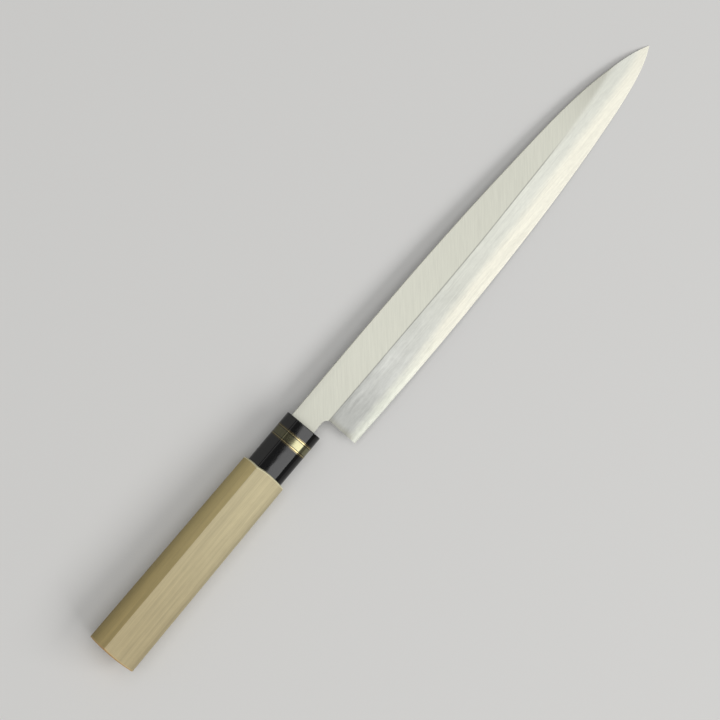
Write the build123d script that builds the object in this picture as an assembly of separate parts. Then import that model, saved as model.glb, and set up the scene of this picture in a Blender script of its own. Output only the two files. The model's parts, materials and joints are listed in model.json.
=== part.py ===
from build123d import *
import os
from math import acos, atan2, cos, degrees, hypot, radians, sin
import numpy

# A single-bevel slicing knife with a ridged oval wooden handle, lying at rest on its hollow back.
# All lengths are in millimetres.
# The pieces are made in the knife's own axes: x runs from the mouth of the ferrule to the tip,
# y from the cutting edge up to the spine, z from the hollow back up to the bevelled front.
# The handle's axis is y = 0, z = 0. At the end the whole knife is laid down as it comes to rest.

# Blade outline, measured from the ferrule's mouth and from the handle's axis
blade_length = 246.5
heel_setback = 9.4
heel_lean = 0.4
spine_height = 7.7
neck_depth = 5.8
tip_depth = 9.5
edge_depth = 25.1
ridge_depth = 8.2
choil_radius = 3.3

# Blade section
neck_thickness = 3.9
tip_thickness = 1.5
edge_land = 0.12
spine_round = 0.4
steel_thickness = 1.4
steel_setback = 1.0
hollow_depth = 0.35
hollow_rim = 1.6
hollow_heel_margin = 5.0
hollow_tip_margin = 9.0

# Tang
tang_length = 88.0
tang_root_height = 9.4
tang_end_height = 5.0
tang_root_thickness = 3.4
tang_end_thickness = 2.0
shoulder_gap = 0.1
bedding_gap = 0.5

# Wooden handle: half heights and half thicknesses of its oval, and its ridge
wood_length = 116.3
wood_front_half_height = 12.15
wood_butt_half_height = 13.2
wood_front_half_thickness = 8.5
wood_butt_half_thickness = 9.2
wood_ridge_offset = 4.75
wood_ridge_rise = 2.8
wood_ridge_round = 0.5
wood_front_crown = 40.0
wood_butt_crown = 85.0
wood_edge_round = 0.5

# Ferrule
ferrule_length = 28.1
ferrule_half_height = 10.05
ferrule_half_thickness = 7.0
ferrule_ridge_offset = 4.6
ferrule_ridge_rise = 2.4
ferrule_ridge_round = 0.8
ferrule_wall = 2.0
ferrule_front_wall = 2.5
ferrule_edge_round = 0.4
tenon_clearance = 0.1
neck_clearance = 0.15

# Decorative band let into the ferrule, with a line and a fine line at each side of it
band_setback = 9.6
line_spacing = 5.0
line_width = 0.5
fine_line_width = 0.25
fine_line_gap = 0.3
foil_gap = 0.35
band_depth = 0.25
line_proud = 0.08

# One overrun serves all cuts
overrun = 2.0

# Searches by halving and thirding: rounds, and for the pose at rest the spacing of the points
# that stand for a surface and the widest lean
search_rounds = 28
point_spacing = 0.05
most_lean = radians(12)

# Weights of the materials, in grams per cubic millimetre
steel_density = 7.8e-3
wood_density = 0.5e-3
resin_density = 1.1e-3
horn_density = 1.3e-3
brass_density = 8.5e-3

# Points of the outline curves, as hand-chosen shares. The first of each pair runs along the blade.
# The spine's second share is its drop from the neck to the level of the tip.
spine_shares = ((0.25, 0.006), (0.50, 0.070), (0.70, 0.203), (0.84, 0.372), (0.93, 0.625), (0.975, 0.831))
# The edge's second share is its depth below the level of the tip
edge_heel_share = 0.955
edge_shares = ((0.26, 1.0), (0.50, 0.945), (0.70, 0.788), (0.84, 0.586), (0.93, 0.375), (0.975, 0.180))
# The ridge's second share is its depth below the handle's axis; it ends above the spine
ridge_shares = (
    (0.0, 0.92), (0.25, 0.99), (0.48, 1.0), (0.62, 0.91), (0.73, 0.82),
    (0.81, 0.66), (0.90, 0.36), (0.98, -0.03),
)
# The hard steel's second share is its thickness
steel_shares = ((0.04, 0.68), (0.25, 0.84), (0.50, 1.0), (0.70, 0.96), (0.84, 0.82), (0.93, 0.68), (1.0, 0.6))
# The hollow's second share is its depth
hollow_shares = ((0.0, 0.05), (0.08, 0.85), (0.25, 1.0), (0.55, 0.9), (0.78, 0.6), (0.92, 0.25), (1.0, 0.03))
bevel_sections = 16

# Places worked out from the sizes
back = -neck_thickness / 2
mouth_inside = -(ferrule_front_wall + shoulder_gap)
wood_front = -ferrule_length
wood_butt = wood_front - wood_length
taper = (neck_thickness - tip_thickness) / blade_length


def blade_thickness(x):
    return neck_thickness - taper * x


def share_points(shares, y_zero, y_full):
    return [(along * blade_length, y_zero + part * (y_full - y_zero)) for along, part in shares]


def height_on(curve, x):
    # Height of an outline curve at x, carried on straight past its ends
    start, end = curve @ 0, curve @ 1
    if x <= start.X or x >= end.X:
        near, way = (start, curve % 0) if x <= start.X else (end, curve % 1)
        return near.Y + (x - near.X) * way.Y / way.X
    low, high = 0.0, 1.0
    for _ in range(search_rounds):
        middle = (low + high) / 2
        low, high = (middle, high) if (curve @ middle).X < x else (low, middle)
    return (curve @ low).Y


tip = (blade_length, -tip_depth)
heel = (heel_setback - heel_lean, -tip_depth - edge_heel_share * (edge_depth - tip_depth))
spine_curve = Spline([(0, spine_height)] + share_points(spine_shares, spine_height, -tip_depth) + [tip])
edge_curve = Spline([heel] + share_points(edge_shares, -tip_depth, -edge_depth) + [tip])
ridge_curve = Spline(share_points(ridge_shares, 0, -ridge_depth))


def across(x):
    # Plane square to the knife's length, with y to the right and z up
    return Plane(origin=(x, 0, 0), x_dir=(0, 1, 0), z_dir=(1, 0, 0))


def side_slab(lines):
    # Side profile in x and z, drawn out to both sides of the knife
    return extrude(make_face(lines), amount=edge_depth + overrun, both=True, dir=(0, 1, 0))


def blade_outline():
    # Outline seen from the front, with the neck's hidden end inside the ferrule
    neck_end = mouth_inside
    choil_start = (heel_setback - choil_radius, -neck_depth)
    choil_end = (heel_setback, -neck_depth - choil_radius)
    choil_middle = (
        heel_setback - choil_radius * (1 - sin(radians(45))),
        -neck_depth - choil_radius * (1 - sin(radians(45))),
    )
    return make_face([
        Line((neck_end, spine_height), (0, spine_height)),
        spine_curve,
        edge_curve,
        Line(heel, choil_end),
        ThreePointArc(choil_end, choil_middle, choil_start),
        Line(choil_start, (neck_end, -neck_depth)),
        Line((neck_end, -neck_depth), (neck_end, spine_height)),
    ])


def bevel_cutter():
    # Everything in front of the bevel, from behind the heel to past the tip
    first, last = heel[0] - overrun, blade_length + overrun
    sections = []
    for number in range(bevel_sections):
        x = first + (last - first) * number / (bevel_sections - 1)
        ridge_y, edge_y = height_on(ridge_curve, x), height_on(edge_curve, x)
        slope = (blade_thickness(x) - edge_land) / (ridge_y - edge_y)
        low = back + edge_land - overrun * slope
        high = back + blade_thickness(x) + overrun * slope
        roof = neck_thickness + overrun
        sections.append(across(x) * make_face(Polyline(
            (edge_y - overrun, low), (ridge_y + overrun, high),
            (ridge_y + overrun, roof), (edge_y - overrun, roof), close=True,
        )))
    return loft(sections)


def hollow_cutter():
    # Shallow round hollow in the back, inside a flat rim
    first = heel_setback + hollow_heel_margin
    last = blade_length - hollow_tip_margin
    sections = []
    for along, deep in hollow_shares:
        x = first + (last - first) * along
        high, low = height_on(spine_curve, x) - hollow_rim, height_on(edge_curve, x) + hollow_rim
        crest = back + hollow_depth * deep
        sections.append(across(x) * make_face([
            ThreePointArc((high, back), ((high + low) / 2, crest), (low, back)),
            Line((low, back), (low, back - overrun)),
            Line((low, back - overrun), (high, back - overrun)),
            Line((high, back - overrun), (high, back)),
        ]))
    return loft(sections)


def blade_blank():
    # The whole blade without its tang: flat front, bevel, and hollow back, with a rounded spine
    plate = extrude(Pos(0, 0, back) * blade_outline(), amount=neck_thickness)
    start, end, low = mouth_inside - overrun, blade_length + overrun, back - overrun
    wedge = side_slab(Polyline(
        (start, 0, low), (end, 0, low), (end, 0, back + blade_thickness(end)),
        (start, 0, back + blade_thickness(start)), close=True,
    ))
    blank = (plate & wedge) - bevel_cutter() - hollow_cutter()
    facing_up = blank.faces().filter_by(GeomType.PLANE).filter_by(lambda face: face.normal_at().Z > 0.9)
    flat_front = facing_up.sort_by(SortBy.AREA)[-1]
    upper_edges = flat_front.edges().filter_by(lambda edge: edge.center().Y > 0)
    return fillet(upper_edges.sort_by(SortBy.LENGTH)[-1], spine_round)


def steel_space():
    # The space of the hard steel, from just in front of the ferrule's mouth to past the tip
    top = [(x, 0, back + z) for x, z in share_points(steel_shares, 0, steel_thickness)]
    start = (steel_setback, 0, top[0][2])
    end = (blade_length + overrun, 0, top[-1][2])
    low = back - overrun
    return side_slab([
        Line(start, top[0]), Spline(top), Line(top[-1], end), Line(end, (end[0], 0, low)),
        Line((end[0], 0, low), (start[0], 0, low)), Line((start[0], 0, low), start),
    ])


def tapered_bar(first, last, growth):
    # Tang-shaped bar between two places, larger than the tang by a growth on every side
    sections = []
    for x in (first, last):
        along = (mouth_inside - x) / tang_length
        height = tang_root_height + along * (tang_end_height - tang_root_height)
        thickness = tang_root_thickness + along * (tang_end_thickness - tang_root_thickness)
        sections.append(across(x) * Rectangle(height + 2 * growth, thickness + 2 * growth))
    return loft(sections, ruled=True)


def ridged_oval(half_height, half_thickness, ridge_offset, ridge_rise):
    # An oval drawn out to a ridge: two straight flanks touch the oval and meet at the ridge
    ridge = (ridge_offset, half_thickness + ridge_rise)
    across_share, up_share = ridge[0] / half_height, ridge[1] / half_thickness
    centre_angle = degrees(atan2(up_share, across_share))
    spread = degrees(acos(1 / hypot(across_share, up_share)))
    spine_side, edge_side = centre_angle - spread, centre_angle + spread

    def on_oval(angle):
        return (half_height * cos(radians(angle)), half_thickness * sin(radians(angle)))

    return make_face([
        EllipticalCenterArc(
            (0, 0), half_height, half_thickness, edge_side, arc_size=360 - 2 * spread),
        Line(on_oval(spine_side), ridge),
        Line(ridge, on_oval(edge_side)),
    ])


def round_ridge(solid, radius):
    # The ridge is the long edge that stands highest
    long_edges = solid.edges().filter_by(lambda edge: abs(edge.tangent_at(0.5).X) > 0.9)
    return fillet(long_edges.sort_by(Axis.Z)[-1], radius)


def handle_blank():
    front = across(wood_front) * ridged_oval(
        wood_front_half_height, wood_front_half_thickness, wood_ridge_offset, wood_ridge_rise)
    butt = across(wood_butt) * ridged_oval(
        wood_butt_half_height, wood_butt_half_thickness, wood_ridge_offset, wood_ridge_rise)
    return round_ridge(loft([butt, front], ruled=True), wood_ridge_round)


def crowned_space():
    # A turned shape about the handle's axis, with a domed face at each end
    reach = wood_butt_half_height + wood_ridge_rise + overrun

    def dome(face_x, radius, way):
        fall = radius - (radius ** 2 - reach ** 2) ** 0.5
        half = reach / 2
        half_fall = radius - (radius ** 2 - half ** 2) ** 0.5
        return ThreePointArc((face_x, 0), (face_x - way * half_fall, half), (face_x - way * fall, reach))

    front = dome(wood_front, wood_front_crown, 1)
    butt = dome(wood_butt, wood_butt_crown, -1)
    profile = make_face([
        Line((wood_butt, 0), (wood_front, 0)), front, Line(front @ 1, butt @ 1), butt,
    ])
    return revolve(profile, Axis.X)


def tenon(growth):
    # Oval tenon inside the ferrule, larger by a growth all round
    return Ellipse(
        ferrule_half_height - ferrule_wall - tenon_clearance + growth,
        ferrule_half_thickness - ferrule_wall - tenon_clearance + growth,
    )


def handle_wood():
    body = handle_blank() & crowned_space()
    rims = body.faces().filter_by(GeomType.SPHERE).edges()
    body = fillet(rims, wood_edge_round)
    tenon_length = ferrule_length - ferrule_front_wall - shoulder_gap
    root = wood_front - overrun
    body += extrude(across(root) * tenon(0), amount=tenon_length + overrun)
    return body - tapered_bar(mouth_inside + overrun, mouth_inside - tang_length - bedding_gap, bedding_gap)


def ferrule_space(first, last, growth):
    # Length of the ferrule's outer shape, larger by a growth all round
    profile = ridged_oval(
        ferrule_half_height + growth, ferrule_half_thickness + growth,
        ferrule_ridge_offset, ferrule_ridge_rise)
    bar = extrude(across(first) * profile, amount=last - first)
    return round_ridge(bar, ferrule_ridge_round)


def ferrule():
    # Seats on the crowned shoulder of the wood and is closed in front, with a slot for the neck
    start = wood_front - overrun
    body = ferrule_space(start, 0, 0)
    front_rim = body.faces().sort_by(Axis.X)[-1].edges()
    body = fillet(front_rim, ferrule_edge_round) - crowned_space()
    body -= extrude(across(start) * tenon(tenon_clearance), amount=-ferrule_front_wall - start)
    slot_height = spine_height + neck_depth + 2 * neck_clearance
    slot = across(-ferrule_front_wall - overrun) * Pos((spine_height - neck_depth) / 2, 0) * Rectangle(
        slot_height, neck_thickness + 2 * neck_clearance)
    body -= extrude(slot, amount=ferrule_front_wall + 2 * overrun)
    for first, last, _ in band_rings().values():
        body -= ring(first, last, overrun)
    return body


def ring(first, last, proud):
    # Ring let into the ferrule, standing proud of it
    return ferrule_space(first, last, proud) - ferrule_space(first - overrun, last + overrun, -band_depth)


def band_rings():
    # Where each ring starts and ends along the ferrule, and how far it stands proud
    foil_half = line_spacing / 2 - line_width / 2 - foil_gap
    places = {"band_foil": (-band_setback - foil_half, -band_setback + foil_half, 0)}
    for end, way in (("rear", -1), ("front", 1)):
        middle = -band_setback + way * line_spacing / 2
        places["band_line_" + end] = (middle - line_width / 2, middle + line_width / 2, line_proud)
        middle += way * (line_width / 2 + fine_line_gap + fine_line_width / 2)
        places["band_fine_line_" + end] = (middle - fine_line_width / 2, middle + fine_line_width / 2, line_proud)
    return places


def blade_pieces():
    # Soft iron in front with the tang forged on, hard steel behind; the two meet face to face
    blank, space = blade_blank(), steel_space()
    tang = tapered_bar(mouth_inside, mouth_inside - tang_length, 0)
    return (blank - space) + tang, blank & space


def tang_resin():
    # Resin that fills the burnt-in socket round the tang
    end = mouth_inside - tang_length
    return tapered_bar(mouth_inside, end - bedding_gap, bedding_gap) - tapered_bar(mouth_inside, end, 0)


def lowest_of(function, low, high):
    # Place of the least value of a function that falls and then rises
    for _ in range(search_rounds):
        third = (high - low) / 3
        if function(low + third) < function(high - third):
            high -= third
        else:
            low += third
    return (low + high) / 2


def resting_angles(pieces, densities):
    # The knife comes to rest where its centre of mass lies lowest over what it stands on.
    # The tilt turns the tip down and the roll turns the cutting edge down, in radians.
    weights = numpy.array([piece.volume * densities[name] for name, piece in pieces.items()])
    centres = numpy.array([tuple(piece.center(CenterOf.MASS)) for piece in pieces.values()])
    middle = weights @ centres / weights.sum()
    points = numpy.array([
        tuple(point) for piece in pieces.values() for point in piece.tessellate(point_spacing)[0]])

    def balance(tilt, roll):
        up = numpy.array([-sin(tilt), cos(tilt) * sin(roll), cos(tilt) * cos(roll)])
        return middle @ up - (points @ up).min()

    def best_tilt(roll):
        return lowest_of(lambda tilt: balance(tilt, roll), -most_lean, most_lean)

    roll = lowest_of(lambda roll: balance(best_tilt(roll), roll), -most_lean, most_lean)
    tilt = best_tilt(roll)
    print("weight in grams", weights.sum().round(1), "centre of mass", middle.round(1))
    print("tilt", round(degrees(tilt), 2), "roll", round(degrees(roll), 2))
    return tilt, roll


def laid_down(pieces, densities):
    # Lay the knife down, with the origin under the middle of its box
    tilt, roll = resting_angles(pieces, densities)
    turn = Rot(Y=degrees(tilt)) * Rot(X=degrees(roll))
    box = Compound(children=[turn * piece for piece in pieces.values()]).bounding_box()
    place = Pos(-(box.min.X + box.max.X) / 2, -(box.min.Y + box.max.Y) / 2, -box.min.Z) * turn
    return {name: place * piece for name, piece in pieces.items()}


soft_iron, hard_steel = blade_pieces()
knife = {
    "blade_soft_iron": soft_iron,
    "blade_hard_steel": hard_steel,
    "handle_wood": handle_wood(),
    "tang_resin": tang_resin(),
    "ferrule": ferrule(),
}
densities = {
    "blade_soft_iron": steel_density,
    "blade_hard_steel": steel_density,
    "handle_wood": wood_density,
    "tang_resin": resin_density,
    "ferrule": horn_density,
}
for name, place in band_rings().items():
    knife[name] = ring(*place)
    densities[name] = brass_density

os.makedirs("parts", exist_ok=True)
for name, piece in laid_down(knife, densities).items():
    export_step(piece, "parts/" + name + ".step")
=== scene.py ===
import json
import math
import bpy
from mathutils import Matrix, Vector

# The looks of a single-bevel slicing knife: laminated satin blade, black horn ferrule with a gold band, and
# a bare wooden handle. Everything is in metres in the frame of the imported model, and patterns are laid out
# in the knife's own axes in millimetres: x from the ferrule's mouth to the tip, y from the edge up to the
# spine, z from the hollow back up to the bevelled front. The handle's axis is where y and z are 0.

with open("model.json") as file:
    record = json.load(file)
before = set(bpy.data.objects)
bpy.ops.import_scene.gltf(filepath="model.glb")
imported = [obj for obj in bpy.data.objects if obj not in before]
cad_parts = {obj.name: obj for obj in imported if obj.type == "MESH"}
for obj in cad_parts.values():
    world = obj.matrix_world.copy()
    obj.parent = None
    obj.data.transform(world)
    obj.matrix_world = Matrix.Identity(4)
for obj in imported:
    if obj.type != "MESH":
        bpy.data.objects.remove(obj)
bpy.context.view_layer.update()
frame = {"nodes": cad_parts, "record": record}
nodes = frame["nodes"]
MM = 0.001

# Where the mount on the back of the blade lies in the knife's axes
back_mount_place = (8.0, 1.0, -1.95)

# How the picture is taken: straight down through a long lens, with the tip up and to the right.
# It spans its width at the level of the blade, and its middle is in the knife's axes, in metres.
picture_width = 0.3456
picture_middle = (0.0412, -0.0004, 0.0)
picture_turn = math.radians(-49.9)
blade_level = 0.005
camera_height = 3.2
sensor_width = 0.036

# The table and the even light of the room
floor_size = 14.0
floor_tone = (0.72, 0.715, 0.70)
room_light = 0.30

# Outline curves of the blade, as listed shares of its length and of a depth below the handle's axis
ridge_depth = 8.2
ridge_line = (
    (0.0, 0.92), (0.25, 0.99), (0.48, 1.0), (0.62, 0.91), (0.73, 0.82),
    (0.81, 0.66), (0.90, 0.36), (0.98, -0.03),
)
edge_depth = 25.1
edge_line = (
    (0.0365, 0.972), (0.26, 1.0), (0.50, 0.966), (0.70, 0.868), (0.84, 0.743),
    (0.93, 0.612), (0.975, 0.490), (1.0, 0.3785),
)
# How far the hairlines on the flat slant away from the blade's length
hairline_slant = math.radians(-42)
# Height of the bright steel above the cutting edge, along the blade
bright_steel_height = 10.0
bright_steel_line = (
    (0.0, 0.30), (0.10, 0.41), (0.25, 0.52), (0.41, 0.71), (0.50, 0.76), (0.65, 0.83),
    (0.82, 0.74), (0.90, 0.62), (1.0, 0.50),
)
# How bright the flat, the bevel and the bright steel are along the blade
flat_brightness = (
    (0.0, 0.52), (0.05, 0.545), (0.60, 0.55), (0.76, 0.55), (0.82, 0.515), (0.865, 0.47),
    (0.91, 0.455), (1.0, 0.56),
)
bevel_brightness = (
    (0.0, 0.38), (0.07, 0.40), (0.20, 0.53), (0.33, 0.54), (0.50, 0.60), (0.65, 0.63),
    (0.82, 0.61), (1.0, 0.60),
)
bright_steel_brightness = (
    (0.0, 0.62), (0.07, 0.64), (0.20, 0.73), (0.50, 0.762), (0.65, 0.762), (0.82, 0.75),
    (0.92, 0.745), (1.0, 0.71),
)


def knife_axes():
    """The knife's own axes, read from the face of its back that the record gives as a mount."""
    mount = next(m for m in frame["record"]["mounts"] if m["name"] == "blade_back")
    up = -Vector(mount["axis"]).normalized()
    along = Vector((0, 1, 0)).cross(up).normalized()
    across = up.cross(along)
    turn = Matrix((along, across, up)).transposed()
    origin = Vector(mount["pos_m"]) - turn @ (Vector(back_mount_place) * MM)
    return turn, origin


knife_turn, knife_origin = knife_axes()


def extent(node):
    """Lowest and highest corner of a node in the knife's axes, in millimetres."""
    back_turn = knife_turn.transposed()
    places = [back_turn @ (v.co - knife_origin) / MM for v in nodes[node].data.vertices]
    return [Vector(pick(p[i] for p in places) for i in range(3)) for pick in (min, max)]


wood_low, wood_high = extent("handle_wood")
steel_low, steel_high = extent("blade_hard_steel")
blade_length = steel_high.x
# Where the heel of the blade and the shoulder of the wood are, along the knife
blade_heel = 9.0
wood_shoulder = -28.1
# The shoulder and the butt of the wood are domed by these radii about the handle's axis
shoulder_crown = 40.0
butt_crown = 85.0
# How much each side of the wood widens for each millimetre towards the butt
flare = 0.009


def found_socket(sockets, name):
    """A node's socket by its number, name or identifier, among those in use."""
    if isinstance(name, int):
        return sockets[name]
    return next(s for s in sockets if name in (s.identifier, s.name) and s.enabled)


def colour(value):
    """A colour as a socket takes it, or a wire as it is."""
    return value if isinstance(value, Wire) else (*value, 1)


def draw_curve(mapping, places):
    """Draws a curve node's curve through the given places."""
    points = mapping.curves[0].points
    while len(points) < len(places):
        points.new(0, 0)
    for point, place in zip(points, places):
        point.location = place
    mapping.use_clip = False
    mapping.update()


class Wire:
    """What one socket of a shader node gives out. Arithmetic on it adds the maths nodes."""

    def __init__(self, finish, socket):
        self.finish, self.socket = finish, socket

    def math(self, operation, *values):
        return self.finish.node("ShaderNodeMath", {"operation": operation}, dict(enumerate(values)))

    def __add__(self, other):
        return self.math("ADD", self, other)

    def __radd__(self, other):
        return self.math("ADD", other, self)

    def __sub__(self, other):
        return self.math("SUBTRACT", self, other)

    def __rsub__(self, other):
        return self.math("SUBTRACT", other, self)

    def __mul__(self, other):
        return self.math("MULTIPLY", self, other)

    def __rmul__(self, other):
        return self.math("MULTIPLY", other, self)

    def __truediv__(self, other):
        return self.math("DIVIDE", self, other)

    def __pow__(self, other):
        return self.math("POWER", self, other)

    def __abs__(self):
        return self.math("ABSOLUTE", self)


class Finish:
    """A material, with the knife's axes laid over the piece that wears it."""

    def __init__(self, name):
        self.material = bpy.data.materials.new(name)
        self.material.use_nodes = True
        self.tree = self.material.node_tree
        self.tree.nodes.clear()
        piece, facing = self.node("ShaderNodeTexCoord", outputs=("Object", "Normal"))
        self.place = self.node("ShaderNodeMapping", {"vector_type": "TEXTURE"}, {
            "Vector": piece, "Location": knife_origin, "Rotation": knife_turn.to_euler(),
            "Scale": (MM, MM, MM)})
        self.x, self.y, self.z = self.node(
            "ShaderNodeSeparateXYZ", {}, {0: self.place}, ("X", "Y", "Z"))
        self.facing = [
            self.node(
                "ShaderNodeVectorMath", {"operation": "DOT_PRODUCT"}, {0: facing, 1: axis}, ("Value",))[0]
            for axis in knife_turn.col]

    def node(self, kind, settings=None, inputs=None, outputs=(0,)):
        """Adds a node: its settings first, then the value or wire of each socket. Gives its wires."""
        node = self.tree.nodes.new(kind)
        for name, value in (settings or {}).items():
            if name == "points":
                draw_curve(node.mapping, value)
            else:
                setattr(node, name, value)
        for name, value in (inputs or {}).items():
            socket = found_socket(node.inputs, name)
            if isinstance(value, Wire):
                self.tree.links.new(value.socket, socket)
            else:
                socket.default_value = value
        wires = [Wire(self, found_socket(node.outputs, name)) for name in outputs]
        return wires[0] if outputs == (0,) else wires

    def step(self, value, start, end):
        """Goes smoothly from 0 at start to 1 at end, where start may be the higher of the two."""
        return self.node("ShaderNodeMapRange", {"interpolation_type": "SMOOTHSTEP"}, {
            "Value": value, "From Min": start, "From Max": end})

    def cloud(self, way, detail=2.0, roughness=0.5, distortion=0.0, place=None):
        """Soft noise about 0, whose features are one unit long where an axis is multiplied by one."""
        noise = self.node("ShaderNodeTexNoise", {}, {
            "Vector": self.times(place or self.place, way), "Scale": 1.0, "Detail": detail,
            "Roughness": roughness, "Distortion": distortion})
        return noise - 0.5

    def mixed(self, share, first, second):
        """Goes from one colour to another by a share."""
        inputs = {"Factor_Float": share, "A_Color": colour(first), "B_Color": colour(second)}
        return self.node("ShaderNodeMix", {"data_type": "RGBA"}, inputs, ("Result_Color",))[0]

    def times(self, first, second):
        """Two colours or places multiplied part by part."""
        return self.node("ShaderNodeVectorMath", {"operation": "MULTIPLY"}, {0: first, 1: second})

    def shaded(self, tone, amount):
        """A colour times a brightness."""
        return self.node("ShaderNodeVectorMath", {"operation": "SCALE"}, {0: tone, "Scale": amount})

    def distance_to(self, point):
        """How far a place is from a point in the knife's axes."""
        return self.node(
            "ShaderNodeVectorMath", {"operation": "DISTANCE"}, {0: self.place, 1: point}, ("Value",))[0]

    def line(self, points):
        """Height of a given curve over the length of the blade."""
        return self.node("ShaderNodeFloatCurve", {"points": points}, {"Value": self.x / blade_length})

    def surface(self, relief, inputs):
        """Ends the material: a relief in millimetres, and the sockets of its shader by name."""
        bump = self.node("ShaderNodeBump", {}, {"Height": relief, "Distance": MM, "Strength": 1.0})
        shader = self.node("ShaderNodeBsdfPrincipled", {}, {"Normal": bump, **inputs})
        self.node("ShaderNodeOutputMaterial", {}, {"Surface": shader}, ())
        return self.material


def stone_marks(f, on_bevel):
    """Hairlines, slanting on the flat and lengthwise on the bevel, and the clouds that the stones leave."""
    slant = f.node("ShaderNodeMapping", {}, {"Vector": f.place, "Rotation": (0, 0, hairline_slant)})
    flat_lines = f.cloud((0.10, 3.2, 1), 3.0, place=slant) + f.cloud((0.05, 1.1, 1), 3.0, place=slant) * 0.5
    long_lines = f.cloud((0.05, 2.6, 1), 3.0) + f.cloud((0.012, 0.6, 1), 2.0) * 0.45
    short_lines = f.cloud((0.45, 1.7, 1), 2.0)
    hairlines = flat_lines * (1 - on_bevel) + (long_lines + short_lines * 0.7) * on_bevel
    clouds = f.cloud((0.05, 0.22, 0.2), 4.0, 0.65, 0.8) + f.cloud((0.18, 0.35, 0.3), 3.0, 0.6) * 0.5
    return hairlines, clouds


def laminated_blade():
    """Satin blade: soft iron, with bright hard steel along the edge and over the ground hollow back."""
    f = Finish("laminated_blade")
    flat_tint = (1.0, 1.0, 0.87)
    bevel_tint_by_heel, bevel_tint_by_tip = (1.0, 1.01, 0.955), (1.0, 1.01, 0.91)
    bright_tint_by_heel, bright_tint_by_tip = (0.98, 1.0, 0.88), (1.0, 0.975, 0.84)
    # Painted shade on the start of the bevel by the heel
    heel_painted_shade_tint = (0.80, 0.785, 0.73)
    back_rim_tone, back_hollow_tone = (0.66, 0.66, 0.62), (0.50, 0.50, 0.47)

    # The bevel lies below the ridge line, which is crisp along the blade and soft near the tip
    below_ridge = f.line(ridge_line) * -ridge_depth - f.y
    above_edge = f.y + f.line(edge_line) * edge_depth
    near_tip = f.step(f.x, 165, 195)
    front = f.step(f.facing[2], 0.2, 0.5)
    back = f.step(f.facing[2], -0.5, -0.9)
    on_bevel = f.step(below_ridge, -0.05 - near_tip * 1.2, 0.05 + near_tip * 2.2) * front
    hairlines, clouds = stone_marks(f, on_bevel)

    # The bright steel has a soft wavy border. This and the clouds are calmer away from the heel.
    calm = f.step(f.x, 60, 110)
    wave = f.cloud((0.045, 0, 0), 2.0) * 2.0 + f.cloud((0.22, 0.3, 0), 3.0, 0.6) * 3.0
    over_bright = above_edge - f.line(bright_steel_line) * bright_steel_height - wave * (1 - calm * 0.4)
    bright = (1 - f.step(over_bright, -2.8, 2.6)) * on_bevel
    stone_clouds = clouds * on_bevel

    # The tones of the front
    flat_tone = f.shaded(flat_tint, f.line(flat_brightness))
    bevel_tint = f.mixed(f.step(f.x, 30, 110), bevel_tint_by_heel, bevel_tint_by_tip)
    bevel_tone = f.shaded(bevel_tint, f.line(bevel_brightness))
    bright_tint = f.mixed(f.step(f.x, 20, 90), bright_tint_by_heel, bright_tint_by_tip)
    bright_tone = f.shaded(bright_tint, f.line(bright_steel_brightness))
    tone = f.mixed(bright, f.mixed(on_bevel, flat_tone, bevel_tone), bright_tone)

    # The ridge is a thin dark line that fades at both ends, with a softer shade below it by the heel
    ridge_fades = near_tip + (1 - f.step(f.x, 10, 26)) * 0.45
    ridge_shadow = (1 - f.step(abs(below_ridge), 0.10, 0.45)) * front * (1 - ridge_fades)
    under_ridge = (1 - f.step(below_ridge, 0.3, 3.0)) * on_bevel * (1 - f.step(f.x, 35, 70))
    # The honed edge is a little brighter. Painted highlights: a glow along the edge by the heel, and a
    # bright line along the corner of the spine
    honed_edge = 1 - f.step(above_edge, 0.12, 0.45)
    edge_painted_glow = (1 - f.step(above_edge, 0.8, 2.8)) * (1 - f.step(f.x, 50, 110)) * on_bevel
    spine_corner_painted_highlight = f.step(f.facing[1], 0.12, 0.4) * f.step(f.facing[2], 0.1, 0.4) * (1 - on_bevel)
    # Painted shade: along the spine over the neck, and a warm shade over the first few millimetres of the
    # bevel by the heel
    neck_shadow = f.step(f.y, 3.5, 7.0) * (1 - f.step(f.x, 5, 60)) * front
    heel_painted_shade = (1 - f.step(f.x - blade_heel, 0.2, 4.0)) * on_bevel * (1 - bright)
    amount = (
        1 + hairlines * 0.28 + stone_clouds * (1 - bright * 0.7) * (0.36 - calm * 0.18)
        - ridge_shadow * 0.4 - under_ridge * 0.09 + edge_painted_glow * 0.10 - neck_shadow * 0.07
        + honed_edge * 0.05 + spine_corner_painted_highlight * 0.7)
    tone = f.times(f.shaded(tone, amount), f.mixed(heel_painted_shade, (1, 1, 1), heel_painted_shade_tint))

    # The back: a ground hollow inside a flat polished rim
    hollow = f.step(f.z, steel_low.z + 0.01, steel_low.z + 0.09) * back
    cross_lines = f.cloud((3.0, 0.06, 1), 3.0)
    back_tone = f.shaded(f.mixed(hollow, back_rim_tone, back_hollow_tone), 1 + cross_lines * 0.2)
    tone = f.mixed(back, tone, back_tone)

    roughness = (
        0.37 + hairlines * 0.12 + stone_clouds * 0.08 - bright * 0.04 - honed_edge * 0.1 + hollow * 0.06)
    relief = hairlines * 0.002 + cross_lines * back * 0.002
    return f.surface(relief, {"Base Color": tone, "Metallic": 1.0, "Roughness": roughness})


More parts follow.
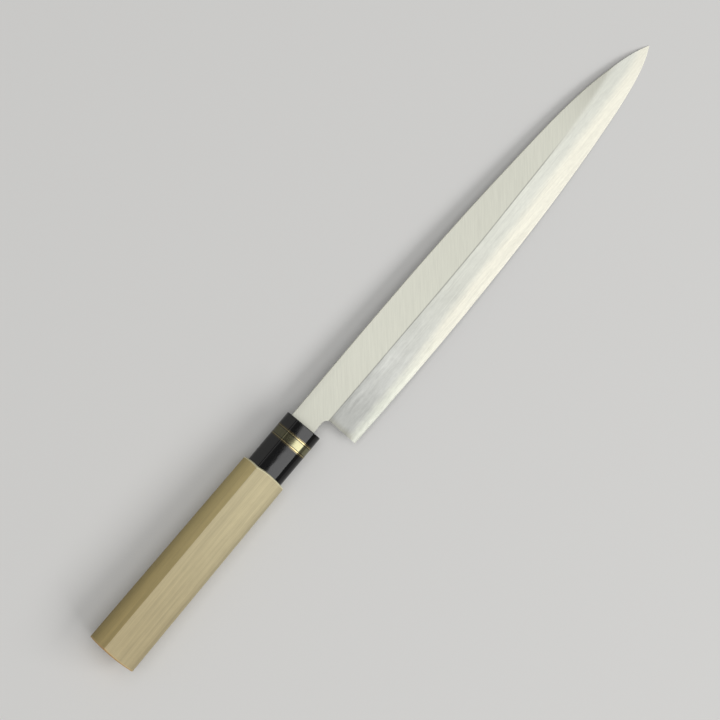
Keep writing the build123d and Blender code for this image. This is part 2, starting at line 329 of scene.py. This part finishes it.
def bare_wood():
    """Pale close-grained wood, sanded bare, with warmer end grain at the butt."""
    f = Finish("bare_wood")
    tone_by_butt, tone_by_shoulder = (0.430, 0.357, 0.202), (0.525, 0.456, 0.277)
    # Painted shade on the spine's side, and painted light by the ridge
    spine_side_painted_shade_tint, ridge_painted_light_tint = (0.64, 0.595, 0.42), (1.14, 1.07, 0.82)
    # A painted highlight on the shoulder's rim
    shoulder_rim_highlight_tone = (0.78, 0.74, 0.50)
    butt_rim_tone, butt_corner_tone = (0.56, 0.42, 0.20), (0.44, 0.23, 0.075)
    end_grain_tone, end_grain_rim_tone = (0.66, 0.49, 0.26), (0.58, 0.34, 0.13)

    # Fibres run along the handle, and the growth rings are cut at a slant
    fibres = f.cloud((0.035, 2.6, 2.6), 4.0, 0.6)
    bands = f.cloud((0.006, 0.30, 0.30), 3.0, 0.5, 0.3)
    ring_phase = (f.y * 0.9 + f.z * 0.5 + bands * 5.0) * 2.3
    rings = f.node("ShaderNodeMath", {"operation": "SINE"}, {0: ring_phase})
    pores = f.step(f.cloud((0.32, 9.0, 9.0), 2.0), 0.14, 0.22)
    sanding = f.cloud((0.12, 0.35, 0.35), 3.0)

    # How far a place lies inside the crown of the butt and inside the crown of the shoulder
    inside_butt = butt_crown - f.distance_to((wood_low.x + butt_crown, 0, 0))
    inside_shoulder = shoulder_crown - f.distance_to((wood_shoulder - shoulder_crown, 0, 0))
    end_face = f.step(f.facing[0], -0.35, -0.85)

    # The spine's side is warmer and darker, a painted shade that is deepest where it turns under. Painted
    # light makes it paler towards the ridge, and a painted highlight runs along the ridge itself.
    spine_side = f.step(f.facing[1], 0.3, 0.7)
    height_without_flare = f.y + (f.x - wood_shoulder) * flare
    painted_shading_by_ridge = (1 - f.step(height_without_flare, 5.5, 13)) * f.step(f.facing[2], -0.1, 0.25)
    ridge_painted_highlight = f.step(f.facing[1], -0.25, -0.1) * (1 - f.step(f.facing[1], 0.3, 0.5))
    ridge_painted_highlight = ridge_painted_highlight * f.step(f.facing[2], 0.3, 0.6)
    # Painted shade where the wood turns down on the edge's side
    edge_side_painted_shade = f.step(f.facing[1], -0.45, -0.95)
    # Towards the ferrule, the wide side is paler along its middle and darker beside it
    front_end = f.step(f.x, -110, -40) * (1 - spine_side)
    front_middle = 0.06 - f.step(f.y, -2, 3) * 0.14 - f.step(f.y, -8.5, -12) * 0.12

    tone = f.mixed(f.step(f.x, wood_low.x, wood_shoulder), tone_by_butt, tone_by_shoulder)
    tone = f.mixed(spine_side, tone, f.times(tone, f.mixed(painted_shading_by_ridge, spine_side_painted_shade_tint, ridge_painted_light_tint)))
    amount = (
        1 + fibres * 0.38 + bands * 0.34 + rings * 0.035 + sanding * 0.16 - pores * 0.12
        + ridge_painted_highlight * 0.10 - edge_side_painted_shade * 0.18 + front_end * front_middle)
    side = f.shaded(tone, amount)

    # The rounded rims of the shoulder and the butt cut across the grain. The shoulder's rim is a painted
    # highlight; the butt's rim is browner and darkest at its corner.
    by_shoulder = f.step(f.x, wood_shoulder - 6, wood_shoulder - 4)
    shoulder_rim_painted_highlight = (1 - f.step(inside_shoulder, 0.1, 0.5)) * by_shoulder
    side = f.mixed(shoulder_rim_painted_highlight * 0.8, side, shoulder_rim_highlight_tone)
    side = f.mixed((1 - f.step(inside_butt, 0.3, 1.1)) * 0.6, side, butt_rim_tone)
    side = f.mixed((1 - f.step(inside_butt, 0.05, 0.45)) * 0.9, side, butt_corner_tone)

    # End grain, honey brown and darker towards the rim
    end_pores = f.step(f.cloud((1.0, 4.5, 4.5), 2.0), 0.08, 0.2)
    rim = f.step((f.y / wood_high.y) ** 2 + (f.z / wood_low.z) ** 2, 0.2, 1.2)
    end = f.mixed(rim, end_grain_tone, end_grain_rim_tone)
    end = f.shaded(end, 1 + rings * 0.09 + bands * 0.3 - end_pores * 0.2)
    wood = f.mixed(end_face * (1 - f.step(inside_butt, 1.0, 3.0)), side, end)
    relief = fibres * 0.012 - pores * 0.015 * (1 - end_face) - end_pores * end_face * 0.02
    return f.surface(relief, {
        "Base Color": wood, "Roughness": 0.62 + fibres * 0.12 - pores * 0.05, "Specular IOR Level": 0.35})


def crowned_flank(f):
    """Relief of the ferrule: its wide flank is very slightly crowned, and uneven from polishing."""
    return (f.y ** 2) * -0.0043 + f.cloud((0.08, 0.10, 0.10), 2.0) * 0.07


def black_horn():
    """Polished black horn, with faint brown streaks."""
    f = Finish("black_horn")
    black_tone, streak_tone = (0.0010, 0.0011, 0.0012), (0.0035, 0.0030, 0.0026)
    streaks = f.cloud((0.06, 0.9, 0.9), 3.0, 0.6, 0.5)
    polish = f.cloud((0.4, 5.0, 5.0), 2.0)
    tone = f.mixed(f.step(streaks, -0.1, 0.4), black_tone, streak_tone)
    return f.surface(crowned_flank(f) + polish * 0.0003, {
        "Base Color": tone, "Roughness": 0.07 + polish * 0.04, "Specular IOR Level": 0.30})


def gold_leaf(name, tone, roughness):
    """Thin burnished gold, which lies a little flatter than the horn, with painted shade on its side towards
    the ridge.
    """
    f = Finish(name)
    speck_tone = (0.05, 0.035, 0.015)
    rubbed = f.cloud((0.8, 1.1, 1.1), 4.0, 0.6)
    specks = f.step(f.cloud((3.0, 3.0, 3.0), 2.0), 0.16, 0.3)
    # Painted shade on the side towards the ridge
    painted_shading_by_ridge = f.step(f.y, -2, 0)
    worn = f.shaded(f.mixed(specks * 0.7, tone, speck_tone), 1 + rubbed * 0.3 - painted_shading_by_ridge * 0.55)
    return f.surface(crowned_flank(f) - f.y * 0.012 + rubbed * 0.0015, {
        "Base Color": worn, "Metallic": 1.0, "Roughness": roughness + rubbed * 0.06})


def socket_resin():
    """Dull resin that beds the tang, out of sight inside the handle."""
    f = Finish("socket_resin")
    resin_tone, bubble_tone = (0.30, 0.21, 0.10), (0.18, 0.12, 0.05)
    bubbles = f.step(f.cloud((2.0, 2.0, 2.0), 2.0), 0.15, 0.3)
    tone = f.mixed(bubbles, resin_tone, bubble_tone)
    return f.surface(bubbles * -0.05, {"Base Color": tone, "Roughness": 0.5 + bubbles * 0.1})


def dress(material, *names):
    """Gives a material to the nodes of these names."""
    for name in names:
        nodes[name].data.materials.clear()
        nodes[name].data.materials.append(material)


dress(laminated_blade(), "blade_soft_iron", "blade_hard_steel")
dress(bare_wood(), "handle_wood")
dress(black_horn(), "ferrule")
dress(gold_leaf("gold_foil", (0.21, 0.20, 0.12), 0.12), "band_foil")
dress(gold_leaf("gold_line", (0.36, 0.30, 0.15), 0.16), "band_line_rear", "band_line_front")
dress(
    gold_leaf("fine_gold_line", (0.16, 0.135, 0.075), 0.16),
    "band_fine_line_rear", "band_fine_line_front")
dress(socket_resin(), "tang_resin")


def pale_floor():
    """A plain pale table, wide enough to fill the picture from the sides too."""
    bpy.ops.object.select_all(action="DESELECT")
    bpy.ops.mesh.primitive_plane_add(size=floor_size)
    floor = bpy.context.object
    floor.name = "floor"
    material = bpy.data.materials.new("pale_floor")
    material.use_nodes = True
    shader = material.node_tree.nodes["Principled BSDF"]
    shader.inputs["Base Color"].default_value = colour(floor_tone)
    shader.inputs["Roughness"].default_value = 0.9
    shader.inputs["Specular IOR Level"].default_value = 0.1
    floor.data.materials.append(material)


def soft_box(name, lean, turn, distance, width, height, radiance):
    """A soft box that faces the knife. It leans off the vertical towards the cutting edge."""
    way = Vector((math.sin(turn) * math.sin(lean), -math.cos(turn) * math.sin(lean), math.cos(lean)))
    lamp = bpy.data.lights.new(name, "AREA")
    lamp.shape = "RECTANGLE"
    lamp.size, lamp.size_y = width, height
    lamp.energy = radiance * width * height * math.pi
    lamp_object = bpy.data.objects.new(name, lamp)
    lamp_object.location = way * distance
    lamp_object.rotation_euler = (lean, 0, turn)
    lamp_object.visible_camera = False
    bpy.context.scene.collection.objects.link(lamp_object)


def studio():
    """Plain soft light: an even room, a wide box overhead and another low on the side of the edge."""
    world = bpy.data.worlds.new("studio")
    world.use_nodes = True
    background = world.node_tree.nodes["Background"]
    background.inputs["Color"].default_value = (1, 1, 1, 1)
    background.inputs["Strength"].default_value = room_light
    bpy.context.scene.world = world
    soft_box("overhead_box", lean=0, turn=0, distance=6.0, width=6.7, height=6.7, radiance=1.0)
    soft_box(
        "side_box", lean=math.radians(53.1), turn=math.radians(10), distance=3.0,
        width=3.3, height=1.09, radiance=4.3)


def overhead_camera():
    """Looks straight down on the middle of the knife, turned as the picture is."""
    data = bpy.data.cameras.new("overhead_camera")
    data.sensor_width = sensor_width / MM
    data.lens = sensor_width * camera_height / picture_width / MM
    camera = bpy.data.objects.new("overhead_camera", data)
    middle = knife_origin + knife_turn @ Vector(picture_middle)
    camera.location = (middle.x, middle.y, blade_level + camera_height)
    camera.rotation_euler = (0, 0, picture_turn)
    bpy.context.scene.collection.objects.link(camera)
    bpy.context.scene.camera = camera


pale_floor()
studio()
overhead_camera()
bpy.context.scene.view_settings.view_transform = "Standard"
